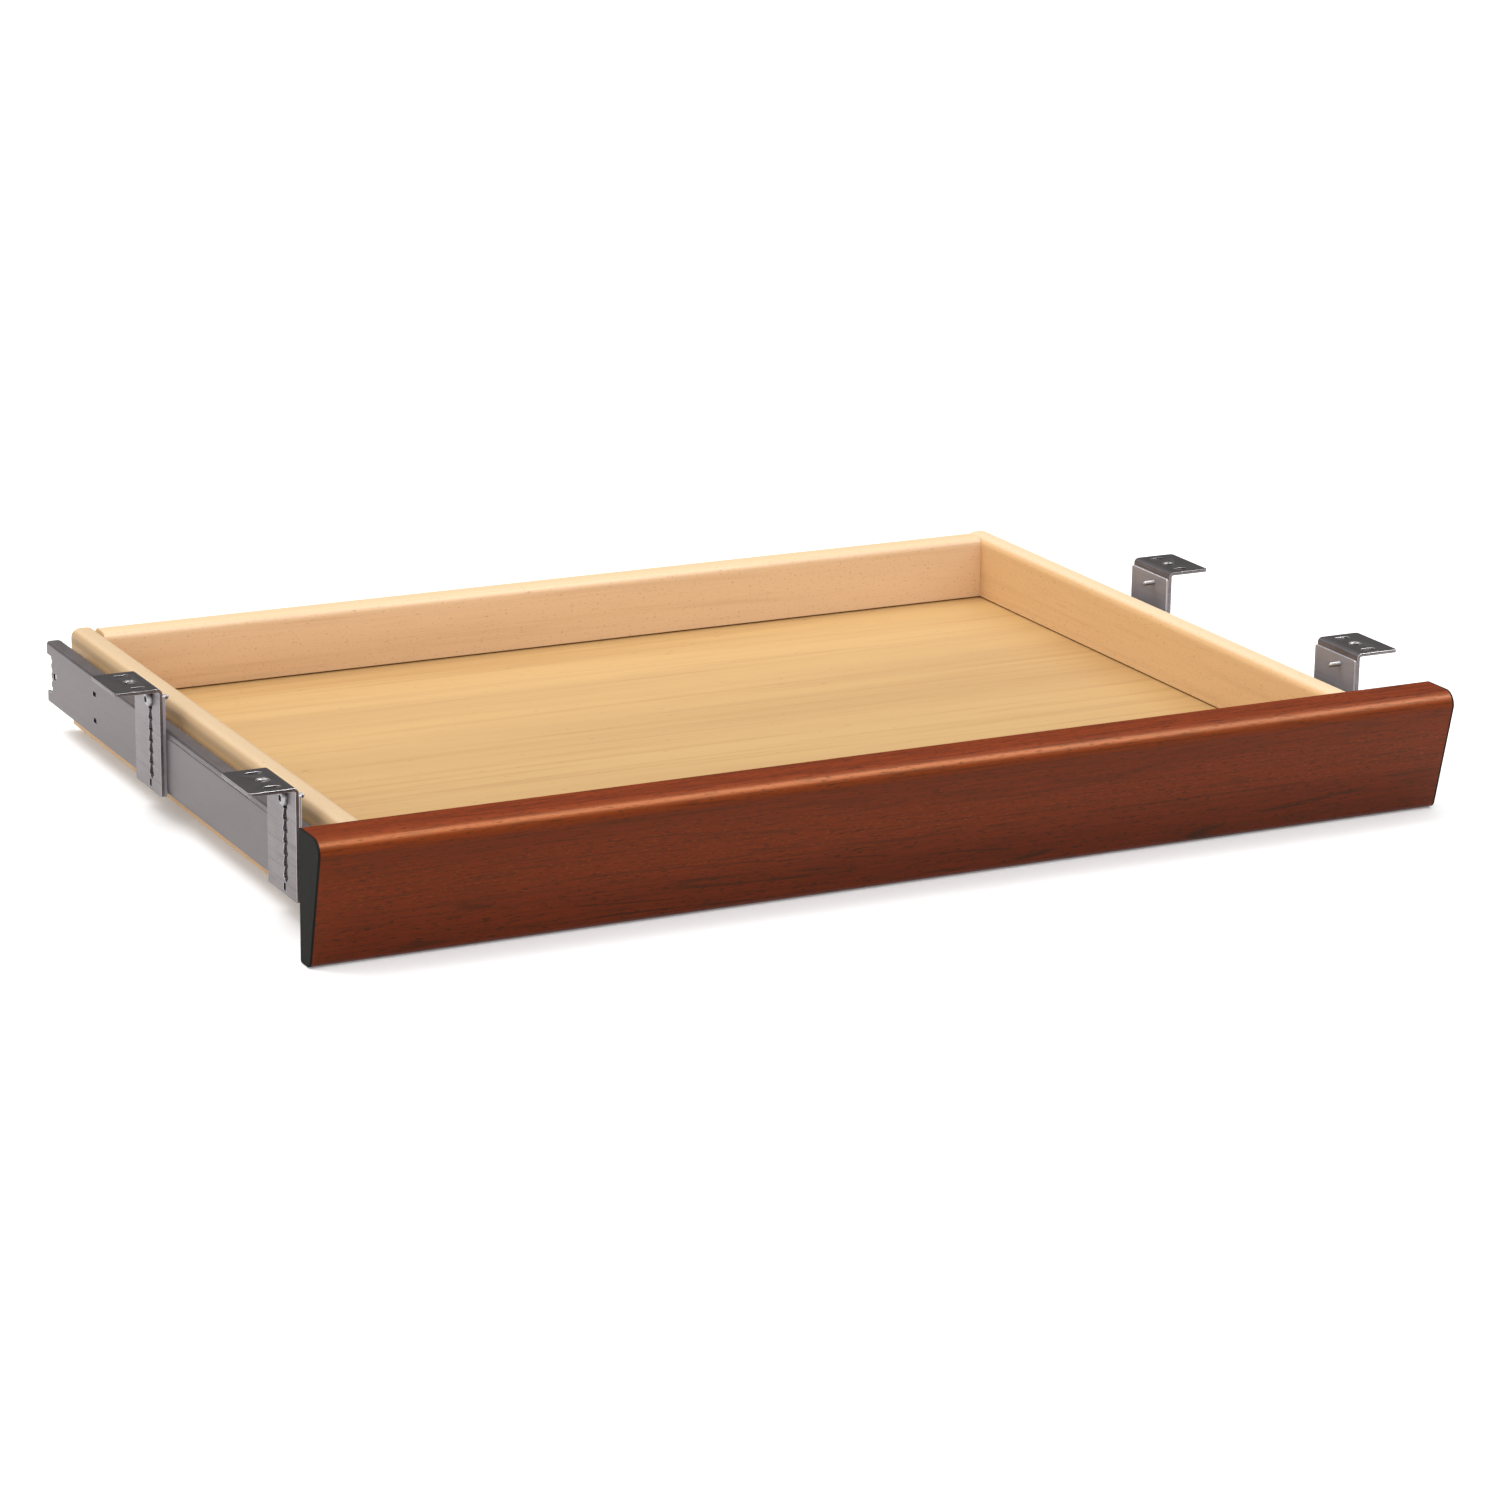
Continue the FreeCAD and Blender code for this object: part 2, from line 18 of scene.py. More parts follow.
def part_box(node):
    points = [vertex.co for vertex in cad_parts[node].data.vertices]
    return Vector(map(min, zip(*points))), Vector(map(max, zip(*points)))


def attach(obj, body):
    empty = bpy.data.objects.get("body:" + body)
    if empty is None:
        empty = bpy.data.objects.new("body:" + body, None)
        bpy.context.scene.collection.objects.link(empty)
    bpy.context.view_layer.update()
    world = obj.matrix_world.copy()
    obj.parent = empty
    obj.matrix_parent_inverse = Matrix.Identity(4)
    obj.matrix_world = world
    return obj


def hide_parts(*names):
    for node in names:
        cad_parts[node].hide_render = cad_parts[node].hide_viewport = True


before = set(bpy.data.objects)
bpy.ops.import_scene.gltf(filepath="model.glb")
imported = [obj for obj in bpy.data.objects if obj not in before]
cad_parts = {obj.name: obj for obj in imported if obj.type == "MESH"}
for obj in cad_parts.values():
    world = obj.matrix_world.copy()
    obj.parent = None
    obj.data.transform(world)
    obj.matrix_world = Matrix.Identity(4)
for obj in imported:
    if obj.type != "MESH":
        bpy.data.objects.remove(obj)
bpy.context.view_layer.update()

LOG = logging.getLogger("drawer")
MM = 0.001
RIM = "rim"  # the face attribute that marks rounded edges
WHITE = (1.0, 1.0, 1.0, 1.0)
Number = int | float
Colour = tuple[float, float, float]
Seat = tuple[Vector, Vector]  # a place, and the outward direction there
SEAT_SINK = 0.25 * MM  # how far a screw's shank reaches up into its head


class Side(Enum):
    """The two sides of the drawer, by the prefix of their node names."""

    LEFT = "left"
    RIGHT = "right"

    @property
    def sign(self) -> int:
        """Which way along X the side lies."""
        return -1 if self is Side.LEFT else 1

    @property
    def outward(self) -> Vector:
        """The direction away from the drawer's middle."""
        return Vector((self.sign, 0, 0))

    def node(self, name: str) -> str:
        """The name of this side's node of a kind."""
        return f"{self.value}_{name}"


class GrainAxis(Enum):
    """The direction that a board's grain runs in."""

    X = "x"
    Y = "y"

    def stretch(self, along: float, across: float) -> tuple[float, float, float]:
        """Pattern scale per axis.

        Args:
            along: Cycles per metre along the grain.
            across: Cycles per metre across it.

        Returns:
            The scale for X, Y and Z.
        """
        if self is GrainAxis.X:
            return (along, across, across)
        return (across, along, across)


# ---- Node trees as expressions
class Socket:
    """A node's output that can be used in a Python expression."""

    def __init__(self, graph: "Graph", output: bpy.types.NodeSocket) -> None:
        """Wrap an output of a node in a graph."""
        self.graph = graph
        self.output = output

    def _math(self, operation: str, *values: "Operand") -> "Socket":
        """Add one Math node.

        Args:
            operation: The Math node's operation.
            values: Its inputs in order, numbers or sockets.

        Returns:
            The node's value.
        """
        inputs = dict(enumerate(values))
        return self.graph.node("ShaderNodeMath", {"operation": operation}, inputs)

    def __add__(self, other: "Operand") -> "Socket":
        """Sum."""
        return self._math("ADD", self, other)

    __radd__ = __add__

    def __mul__(self, other: "Operand") -> "Socket":
        """Product."""
        return self._math("MULTIPLY", self, other)

    __rmul__ = __mul__

    def __sub__(self, other: "Operand") -> "Socket":
        """Difference."""
        return self._math("SUBTRACT", self, other)

    def __rsub__(self, other: "Operand") -> "Socket":
        """Difference, with the number first."""
        return self._math("SUBTRACT", other, self)

    def __truediv__(self, other: "Operand") -> "Socket":
        """Quotient."""
        return self._math("DIVIDE", self, other)

    def __pow__(self, other: "Operand") -> "Socket":
        """Power."""
        return self._math("POWER", self, other)

    def __abs__(self) -> "Socket":
        """Size without sign."""
        return self._math("ABSOLUTE", self)

    def at_least(self, other: "Operand") -> "Socket":
        """The larger of two values."""
        return self._math("MAXIMUM", self, other)

    def at_most(self, other: "Operand") -> "Socket":
        """The smaller of two values."""
        return self._math("MINIMUM", self, other)

    def fraction(self) -> "Socket":
        """The part after the decimal point."""
        return self._math("FRACT", self)

    def cosine(self) -> "Socket":
        """Cosine of an angle in radians."""
        return self._math("COSINE", self)

    def sine(self) -> "Socket":
        """Sine of an angle in radians."""
        return self._math("SINE", self)

    def step(self, low: Number, high: Number) -> "Socket":
        """A smooth rise from 0 at low to 1 at high.

        Args:
            low: Where the rise starts.
            high: Where it ends; a value under low makes it a fall.

        Returns:
            The mask.
        """
        settings = {"interpolation_type": "SMOOTHSTEP"}
        if low < high:
            return self.graph.node("ShaderNodeMapRange", settings, {0: self, 1: low, 2: high})
        return self.graph.node("ShaderNodeMapRange", settings, {0: self, 1: high, 2: low, 3: 1.0, 4: 0.0})


Operand = Socket | Number


class Graph:
    """A node tree, with one method that adds any node to it."""

    def __init__(self, tree: bpy.types.NodeTree) -> None:
        """Wrap an empty tree."""
        self.tree = tree

    def raw(self, kind: str, settings: dict, inputs: dict) -> bpy.types.Node:
        """Add a node, set its settings first and then its inputs.

        Args:
            kind: The node's type.
            settings: Attributes of the node by name.
            inputs: Values or sockets by input name or position; a list links several to one input.

        Returns:
            The node.
        """
        node = self.tree.nodes.new(kind)
        for name, value in settings.items():
            setattr(node, name, value)
        for key, value in inputs.items():
            target = node.inputs[key]
            for one in value if isinstance(value, list) else [value]:
                if isinstance(one, Socket):
                    self.tree.links.new(one.output, target)
                else:
                    target.default_value = one
        return node

    def node(self, kind: str, settings: dict | None = None, inputs: dict | None = None,
             output: int | str = 0) -> Socket:
        """Add a node and return one of its outputs.

        Args:
            kind: The node's type.
            settings: Attributes of the node by name.
            inputs: Values or sockets by input name or position.
            output: Name or position of the output.

        Returns:
            That output, ready for expressions.
        """
        made = self.raw(kind, settings or {}, inputs or {})
        return Socket(self, made.outputs[output])

    def parts(self, vector: Socket) -> tuple[Socket, Socket, Socket]:
        """The three components of a vector."""
        split = self.raw("ShaderNodeSeparateXYZ", {}, {0: vector})
        return tuple(Socket(self, output) for output in split.outputs)


class ShaderGraph(Graph):
    """A material's node tree, with the pattern nodes that the finishes share."""

    def __init__(self, name: str) -> None:
        """Start a material with an empty tree."""
        self.material = bpy.data.materials.new(name)
        self.material.use_nodes = True
        self.material.node_tree.nodes.clear()
        super().__init__(self.material.node_tree)

    def place(self) -> Socket:
        """Object coordinates, in metres."""
        return self.node("ShaderNodeTexCoord", output="Object")

    def normal(self) -> Socket:
        """The surface's own direction."""
        return self.node("ShaderNodeNewGeometry", output="Normal")

    def noise(self, place: Socket, scale: Sequence[float], shift: Sequence[float] = (0, 0, 0),
              detail: float = 2.0, roughness: float = 0.5, distortion: float = 0.0) -> Socket:
        """Fractal noise, about 0.5 on average.

        Args:
            place: The coordinates, in metres.
            scale: Cycles per metre for X, Y and Z.
            shift: An offset that keeps one pattern apart from another.
            detail: How many finer layers it has.
            roughness: How strong the finer layers are.
            distortion: How far the pattern wanders.

        Returns:
            The noise.
        """
        moved = self.node("ShaderNodeMapping", {}, {"Vector": place, "Location": shift, "Scale": scale})
        inputs = {
            "Vector": moved, "Scale": 1.0, "Detail": detail, "Roughness": roughness, "Distortion": distortion}
        return self.node("ShaderNodeTexNoise", {"noise_dimensions": "3D"}, inputs, "Fac")

    def mix(self, factor: Operand, first: Socket | Colour, second: Socket | Colour) -> Socket:
        """Mix two colours.

        Args:
            factor: How much of the second, 0 to 1.
            first: A colour or a colour socket.
            second: The other colour.

        Returns:
            The mixed colour.
        """
        def rgba(colour: Socket | Colour) -> Socket | tuple:
            """A colour with its alpha, or the socket as it is."""
            return colour if isinstance(colour, Socket) else (*colour, 1.0)

        settings = {"data_type": "RGBA", "blend_type": "MIX", "clamp_factor": True}
        return self.node("ShaderNodeMix", settings, {0: factor, 6: rgba(first), 7: rgba(second)}, 2)

    def bump(self, height: Operand, distance: float, strength: float = 1.0) -> Socket:
        """A normal from a height in metres times distance."""
        return self.node(
            "ShaderNodeBump", {}, {"Height": height, "Distance": distance, "Strength": strength}, "Normal")

    def principled(self, **inputs: Operand | tuple) -> Socket:
        """Add a Principled shader.

        Args:
            inputs: The shader's inputs, with underscores for the spaces in their names.

        Returns:
            The shader's output.
        """
        named = {key.replace("_", " "): value for key, value in inputs.items()}
        named = {("IOR" if key == "Ior" else key): value for key, value in named.items()}
        return self.node("ShaderNodeBsdfPrincipled", {}, named, "BSDF")

    def surface(self, **inputs: Operand | tuple) -> Material:
        """Finish the material with one Principled shader with these inputs."""
        return self.shown(self.principled(**inputs))

    def shown(self, shader: Socket) -> Material:
        """Finish the material with a shader."""
        self.raw("ShaderNodeOutputMaterial", {}, {"Surface": shader})
        return self.material


# ---- Finishes
@dataclass(frozen=True)
class CherryLaminate:
    """Reddish cherry laminate: long soft streaks, wandering growth lines and short dark pores, with painted
    light on the top and painted shade lower down.

    It is glossy on the front and the rounded edge, and satin on the flat top from satin_from to satin_to
    behind the front.
    """

    body: Colour = (0.072, 0.0062, 0.0009)
    warm: Colour = (0.102, 0.0105, 0.0015)
    dark: Colour = (0.039, 0.0052, 0.0013)
    pore: Colour = (0.010, 0.0030, 0.0014)
    fleck: Colour = (0.130, 0.0260, 0.0040)
    # painted light: a lighter colour for the top of the panel and its rounded edge
    crest: Colour = (0.188, 0.0290, 0.0034)
    sheen: tuple[float, float, float, float] = (1.0, 0.44, 0.19, 1.0)
    ior: float = 1.40
    gloss: float = 0.55
    satin: float = 0.08
    panel_height: float = 58.5 * MM
    front_y: float = -198.25 * MM
    satin_from: float = 2.0 * MM
    satin_to: float = 5.5 * MM
    pore_depth: float = 0.02 * MM

    def build(self) -> Material:
        """Make the material."""
        g = ShaderGraph("cherry_laminate_finish")
        place = g.place()
        stretch = GrainAxis.X.stretch
        broad = g.noise(place, stretch(2.2, 26.0), detail=3.0, roughness=0.55)
        streak = g.noise(
            place, stretch(7.0, 420.0), shift=(3.1, 0.7, 1.9), detail=4.0, roughness=0.6, distortion=0.25)
        fibre = g.noise(place, stretch(38.0, 1150.0), shift=(0.4, 5.2, 2.3), roughness=0.6)
        _, depth, height = g.parts(place)
        up = height / self.panel_height
        low_down = up.step(0.62, 0.05)
        rings_from = g.noise(
            place, stretch(1.5, 17.0), shift=(7.3, 1.1, 4.4), roughness=0.45, distortion=0.3)
        rings = (rings_from * 95.0).sine().step(0.78, 1.0)
        ring_break = g.noise(place, stretch(24.0, 300.0), shift=(1.7, 9.1, 0.2)).step(0.42, 0.62)
        pores = g.noise(place, stretch(260.0, 1500.0), shift=(2.9, 3.3, 8.1), detail=1.5)
        pore_mask = pores.step(0.58, 0.69)
        flecks = g.noise(place, stretch(380.0, 1500.0), shift=(5.5, 0.3, 6.7), detail=1.0)
        fleck_band = up.step(0.28, 0.48) * up.step(0.92, 0.66)
        fleck_mask = flecks.step(0.56, 0.70) * fleck_band * broad.step(0.30, 0.55)
        colour = g.mix(broad.step(0.32, 0.68), self.body, self.warm)
        # painted light: the top of the panel and its rounded edge are made lighter
        colour = g.mix(up.step(0.86, 0.97), colour, self.crest)
        # painted shade: the front grows darker towards the bottom
        colour = g.mix(low_down * 0.20, colour, self.dark)
        colour = g.mix(streak.step(0.50, 0.72) * 0.42, colour, self.dark)
        colour = g.mix(streak.step(0.48, 0.26) * 0.30, colour, self.warm)
        colour = g.mix(fibre.step(0.48, 0.70) * 0.62, colour, self.dark)
        colour = g.mix(fibre.step(0.46, 0.28) * 0.55, colour, self.warm)
        colour = g.mix(fleck_mask * 0.50, colour, self.fleck)
        colour = g.mix(rings * ring_break * (low_down * 0.55 + 0.25), colour, self.pore)
        colour = g.mix(pore_mask * (low_down * 0.30 + 0.55), colour, self.pore)
        rough = 0.32 + streak * 0.06 + pore_mask * 0.12
        relief = 1.0 - pore_mask * 0.8 - rings * ring_break * 0.25 + fibre * 0.2
        shared = {
            "Base_Color": colour, "Roughness": rough, "Specular_Tint": self.sheen, "Ior": self.ior,
            "Normal": g.bump(relief, self.pore_depth, 0.5)}
        glossy = g.principled(Specular_IOR_Level=self.gloss, **shared)
        satin = g.principled(Specular_IOR_Level=self.satin, **shared)
        behind_edge = depth.step(self.front_y + self.satin_from, self.front_y + self.satin_to)
        flat_top = up.step(0.955, 0.995) * behind_edge
        return g.shown(g.node("ShaderNodeMixShader", {}, {0: flat_top, 1: glossy, 2: satin}, "Shader"))


@dataclass(frozen=True)
class PaleBoard:
    """Pale laminate board: soft even grain, small flecks, short ticks and a top edge of another colour.

    The edge colour fades in from edge_from to edge_to, front_shade darkens the board towards front_y as
    painted shade, and outer is a darker colour, painted shade, on the face at outer_x above the height
    outer_z, where a board has one.
    """

    name: str
    grain: GrainAxis
    body: Colour
    warm: Colour
    line: Colour
    edge: Colour = (0.8, 0.5, 0.25)
    edge_from: float = 1.0  # above any board, for one whose top is like its face
    edge_to: float = 2.0
    fleck_strength: float = 0.35
    streak_strength: float = 0.35
    fleck_stretch: tuple[float, float, float] = (500.0, 1200.0, 1200.0)
    tick_strength: float = 0.18
    front_shade: float = 0.0
    front_y: float = -0.18
    back_y: float = 0.17
    outer: Colour | None = None
    outer_x: float = 0.0
    outer_z: float = 0.0
    outer_share: float = 0.9
    outer_fade: tuple[float, float] = (2.2 * MM, 0.6 * MM)
    foot_fade: tuple[float, float] = (-1.5 * MM, 0.5 * MM)
    shade_share: float = 0.5
    tick_shares: Colour = (0.35, 0.30, 0.30)
    grain_depth: float = 0.03 * MM

    def darker(self, shares: Sequence[float]) -> Colour:
        """The line colour with each of its parts reduced to a share."""
        return tuple(part * share for part, share in zip(self.line, shares))

    def build(self) -> Material:
        """Make the material."""
        g = ShaderGraph(self.name)
        place = g.place()
        stretch = self.grain.stretch
        broad = g.noise(place, stretch(1.6, 20.0), shift=(1.2, 4.5, 0.9), detail=3.0, distortion=0.2)
        streak = g.noise(
            place, stretch(4.5, 190.0), shift=(6.1, 2.7, 3.9), detail=4.0, roughness=0.62, distortion=0.35)
        hair = g.noise(place, stretch(30.0, 1300.0), shift=(2.2, 8.8, 1.4), detail=3.0, roughness=0.6)
        flecks = g.noise(place, self.fleck_stretch, shift=(9.7, 0.8, 5.1), detail=1.5, distortion=0.4)
        fleck_mask = flecks.step(0.60, 0.74)
        ticks = g.noise(place, stretch(150.0, 700.0), shift=(4.4, 7.2, 2.8), detail=1.0)
        tick_mask = ticks.step(0.755, 0.80)
        across, depth, height = g.parts(place)
        top = height.step(self.edge_from, self.edge_to)
        colour = g.mix(broad.step(0.35, 0.65), self.body, self.warm)
        colour = g.mix(streak.step(0.48, 0.74) * self.streak_strength, colour, self.line)
        colour = g.mix(hair.step(0.50, 0.78) * self.streak_strength * 0.6, colour, self.line)
        colour = g.mix(fleck_mask * self.fleck_strength, colour, self.line)
        # painted shade: the board darker towards front_y, where the front panel shades the floor
        if self.front_shade:
            shade = depth.step(self.back_y, self.front_y) * self.front_shade
            colour = g.mix(shade, colour, self.darker([self.shade_share] * 3))
        colour = g.mix(top * 0.85, colour, self.edge)
        # painted shade: the outer face above outer_z is made darker and greyer
        if self.outer:
            face = across.step(*(self.outer_x + reach for reach in self.outer_fade))
            above_foot = height.step(*(self.outer_z + reach for reach in self.foot_fade))
            colour = g.mix(face * above_foot * self.outer_share, colour, self.outer)
        colour = g.mix(fleck_mask * top * 0.35, colour, self.line)
        colour = g.mix(tick_mask * self.tick_strength, colour, self.darker(self.tick_shares))
        rough = 0.44 + streak * 0.12
        relief = hair * 0.5 + fleck_mask * 0.3 - tick_mask
        return g.surface(
            Base_Color=colour, Roughness=rough, Specular_IOR_Level=0.30,
            Normal=g.bump(relief, self.grain_depth, 0.5))


@dataclass(frozen=True)
class CharcoalBand:
    """Matt charcoal edge banding with a fine pebbled face."""

    body: Colour = (0.0055, 0.0052, 0.0036)
    worn: Colour = (0.0100, 0.0095, 0.0072)
    ior: float = 1.18
    pebble_depth: float = 0.04 * MM

    def build(self) -> Material:
        """Make the material."""
        g = ShaderGraph("charcoal_band_finish")
        place = g.place()
        pebble = g.noise(place, (2600.0,) * 3)
        cloud = g.noise(place, (90.0,) * 3, detail=3.0, roughness=0.6)
        colour = g.mix(cloud.step(0.35, 0.7) * 0.5 + pebble * 0.2, self.body, self.worn)
        return g.surface(
            Base_Color=colour, Roughness=0.60 + cloud * 0.12, Ior=self.ior,
            Normal=g.bump(pebble, self.pebble_depth, 0.5))


@dataclass(frozen=True)
class ZincSheet:
    """Zinc-plated sheet steel: cool grey with faint mottling, rolling marks and painted highlights on its
    rounded edges.

    Painted shade darkens the sheet below the height foot_to, and a painted dark reflection dulls it above
    top_from as far as top_shade says.
    """

    name: str = "zinc_sheet_finish"
    body: Colour = (0.136, 0.117, 0.119)
    bright: Colour = (0.156, 0.135, 0.138)
    dull: Colour = (0.096, 0.082, 0.084)
    roughness: float = 0.34
    metallic: float = 0.85
    burnished: Colour = (0.92, 0.90, 0.90)
    contrast: float = 1.0
    top_shade: float = 0.0
    top_from: float = 1.0
    foot_to: float = 0.0
    foot: Colour = (0.022, 0.019, 0.019)
    foot_share: float = 0.8
    foot_fade: float = 0.5 * MM
    top_fade: float = 0.4 * MM
    grain_depth: float = 0.03 * MM

    def build(self) -> Material:
        """Make the material."""
        g = ShaderGraph(self.name)
        place = g.place()
        mottle = g.noise(place, (70.0, 55.0, 70.0), detail=4.0, roughness=0.6, distortion=0.4)
        rolled = g.noise(place, (900.0, 14.0, 900.0), shift=(0.3, 2.2, 1.1), detail=3.0, roughness=0.6)
        speck = g.noise(place, (1500.0,) * 3, shift=(7.0, 1.0, 3.0), roughness=0.6)
        rim = g.node("ShaderNodeAttribute", {"attribute_name": RIM}, {}, "Fac")
        colour = g.mix(mottle.step(0.35, 0.68), self.body, self.bright)
        colour = g.mix(rolled.step(0.52, 0.78) * (0.35 * self.contrast), colour, self.dull)
        colour = g.mix(speck.step(0.58, 0.74) * (0.30 * self.contrast), colour, self.dull)
        _, _, height = g.parts(place)
        # painted shade: a dark line along the lower edge, below foot_to
        if self.foot_to:
            low_down = height.step(self.foot_to, self.foot_to - self.foot_fade)
            colour = g.mix(low_down * self.foot_share, colour, self.foot)
        # painted dark reflection: the sheet is darker above top_from, as on a bracket's flange top
        if self.top_shade:
            high_up = height.step(self.top_from, self.top_from + self.top_fade)
            colour = g.mix(high_up * self.top_shade, colour, self.dull)
        # painted highlight: the rounded edges are lightened nearly to white
        colour = g.mix(rim * (0.55 + mottle * 0.45), colour, self.burnished)
        rough = self.roughness + mottle * 0.14 + speck.step(0.55, 0.8) * 0.10
        return g.surface(
            Base_Color=colour, Metallic=self.metallic, Roughness=rough,
            Normal=g.bump(rolled * 0.5 + mottle * 0.6 + speck * 0.15, self.grain_depth, 0.25))


@dataclass(frozen=True)
class BrightSteel:
    """Bright plated steel of the screws and the balls."""

    name: str
    body: Colour = (0.36, 0.35, 0.355)
    dull: Colour = (0.20, 0.19, 0.195)
    roughness: float = 0.22
    wear_depth: float = 0.02 * MM

    def build(self) -> Material:
        """Make the material."""
        g = ShaderGraph(self.name)
        place = g.place()
        wear = g.noise(place, (700.0,) * 3, detail=3.0, roughness=0.6)
        film = g.noise(place, (120.0,) * 3, shift=(2.0, 5.0, 1.0))
        colour = g.mix(wear.step(0.50, 0.75) * 0.5, self.body, self.dull)
        return g.surface(
            Base_Color=colour, Metallic=1.0, Roughness=self.roughness + film * 0.10 + wear * 0.08,
            Normal=g.bump(wear, self.wear_depth, 0.3))


@dataclass(frozen=True)
class BumperNylon:
    """Black moulded nylon with a fine spark-eroded grain."""

    body: Colour = (0.018, 0.018, 0.018)
    sheen: Colour = (0.035, 0.034, 0.033)
    grit_depth: float = 0.03 * MM

    def build(self) -> Material:
        """Make the material."""
        g = ShaderGraph("bumper_nylon_finish")
        grit = g.noise(g.place(), (1800.0,) * 3)
        colour = g.mix(grit.step(0.4, 0.7), self.body, self.sheen)
        rough = 0.48 + grit * 0.1
        return g.surface(Base_Color=colour, Roughness=rough, Normal=g.bump(grit, self.grit_depth, 0.5))


@dataclass(frozen=True)
class StudioPaper:
    """Plain pale paper under the drawer, with a barely visible tooth."""

    body: Colour = (0.86, 0.86, 0.865)
    shade: Colour = (0.84, 0.84, 0.845)
    glow: float = 0.15

    def build(self) -> Material:
        """Make the material."""
        g = ShaderGraph("studio_paper_finish")
        tooth = g.noise(g.place(), (60.0,) * 3)
        return g.surface(
            Base_Color=g.mix(tooth, self.body, self.shade), Roughness=0.9, Specular_IOR_Level=0.1,
            Emission_Color=WHITE, Emission_Strength=self.glow)


# ---- Geometry Nodes
class GeometryGraph(Graph):
    """A Geometry Nodes tree with named inputs, which turns points into one plain mesh."""

    def __init__(self, name: str, sizes: dict[str, Number]) -> None:
        """Start a tree.

        Args:
            name: The tree's name.
            sizes: Named number inputs and their first values; a whole number makes an integer input.
        """
        tree = bpy.data.node_groups.new(name, "GeometryNodeTree")
        super().__init__(tree)
        self.identifiers: dict[str, str] = {}
        tree.interface.new_socket(name="Geometry", in_out="INPUT", socket_type="NodeSocketGeometry")
        for label, value in sizes.items():
            kind = "NodeSocketInt" if isinstance(value, int) else "NodeSocketFloat"
            item = tree.interface.new_socket(name=label, in_out="INPUT", socket_type=kind)
            item.default_value = value
            self.identifiers[label] = item.identifier
        item = tree.interface.new_socket(name="Finish", in_out="INPUT", socket_type="NodeSocketMaterial")
        self.identifiers["Finish"] = item.identifier
        tree.interface.new_socket(name="Geometry", in_out="OUTPUT", socket_type="NodeSocketGeometry")
        self.group_input = tree.nodes.new("NodeGroupInput")

    def given(self, label: str) -> Socket:
        """A named input of the tree."""
        return Socket(self, self.group_input.outputs[label])

    def vector(self, x: Operand, y: Operand, z: Operand) -> Socket:
        """A vector from three values."""
        return self.node("ShaderNodeCombineXYZ", {}, {0: x, 1: y, 2: z})

    def position(self) -> tuple[Socket, Socket, Socket]:
        """Each point's place."""
        return self.parts(self.node("GeometryNodeInputPosition"))

    def angle_round_z(self, x: Socket, y: Socket) -> Socket:
        """Each point's angle about Z, in radians."""
        return self.node("ShaderNodeMath", {"operation": "ARCTAN2"}, {0: y, 1: x})

    def moved_to(self, geometry: Socket, place: Socket) -> Socket:
        """Geometry with its points set to a place."""
        return self.node("GeometryNodeSetPosition", {}, {"Geometry": geometry, "Position": place})

    def finish(self, instance: Socket) -> None:
        """Put the instance on every point, turned so its Z follows the point's outward direction.

        Args:
            instance: One item, with its seat at the origin and its outward side along +Z.
        """
        settings = {"data_type": "FLOAT_VECTOR"}
        outward = self.node("GeometryNodeInputNamedAttribute", settings, {"Name": "outward"}, "Attribute")
        turned = self.node(
            "FunctionNodeAlignRotationToVector", {"axis": "Z"}, {"Vector": outward}, "Rotation")
        placed = self.node(
            "GeometryNodeInstanceOnPoints", {},
            {"Points": self.given("Geometry"), "Instance": instance, "Rotation": turned}, "Instances")
        real = self.node("GeometryNodeRealizeInstances", {}, {"Geometry": placed})
        material = self.given("Finish")
        dressed = self.node("GeometryNodeSetMaterial", {}, {"Geometry": real, "Material": material})
        self.raw("NodeGroupOutput", {}, {"Geometry": dressed})


def placed(name: str, data: bpy.types.ID) -> Object:
    """Make an object that shows some data, and link it to the scene.

    Args:
        name: The object's name.
        data: Its mesh, light or camera.

    Returns:
        The object.
    """
    made = bpy.data.objects.new(name, data)
    bpy.context.scene.collection.objects.link(made)
    return made


def applied(piece: Object, modifier: bpy.types.Modifier, name: str) -> Mesh:
    """Turn what an object's modifier makes into the object's own mesh.

    Args:
        piece: The object.
        modifier: Its only modifier, which is removed.
        name: The new mesh's name.

    Returns:
        The new mesh.
    """
    before = piece.data
    evaluated = piece.evaluated_get(bpy.context.evaluated_depsgraph_get())
    mesh = bpy.data.meshes.new_from_object(evaluated)
    piece.modifiers.remove(modifier)
    piece.data = mesh
    bpy.data.meshes.remove(before)
    mesh.name = name
    return mesh


@dataclass
class PointItems:
    """Equal items on a list of seats, made by a Geometry Nodes tree into one plain mesh."""

    graph: GeometryGraph
    finish: Material
    sharp_degrees: float = 40.0

    def make(self, name: str, seats: Sequence[Seat], sizes: dict[str, Number]) -> Object:
        """Make one piece.

        Args:
            name: The piece's name.
            seats: Each item's seat and outward direction.
            sizes: Values for the tree's named inputs.

        Returns:
            An object with a plain mesh and no modifier.
        """
        points = bpy.data.meshes.new(name + "_seats")
        points.from_pydata([seat for seat, _ in seats], [], [])
        outward = points.attributes.new("outward", "FLOAT_VECTOR", "POINT")
        for item, (_, direction) in zip(outward.data, seats):
            item.vector = direction
        piece = placed(name, points)
        modifier = piece.modifiers.new("items", "NODES")
        modifier.node_group = self.graph.tree
        for label, value in sizes.items():
            modifier[self.graph.identifiers[label]] = value
        modifier[self.graph.identifiers["Finish"]] = self.finish
        smooth_by_angle(applied(piece, modifier, name), self.sharp_degrees)
        return piece


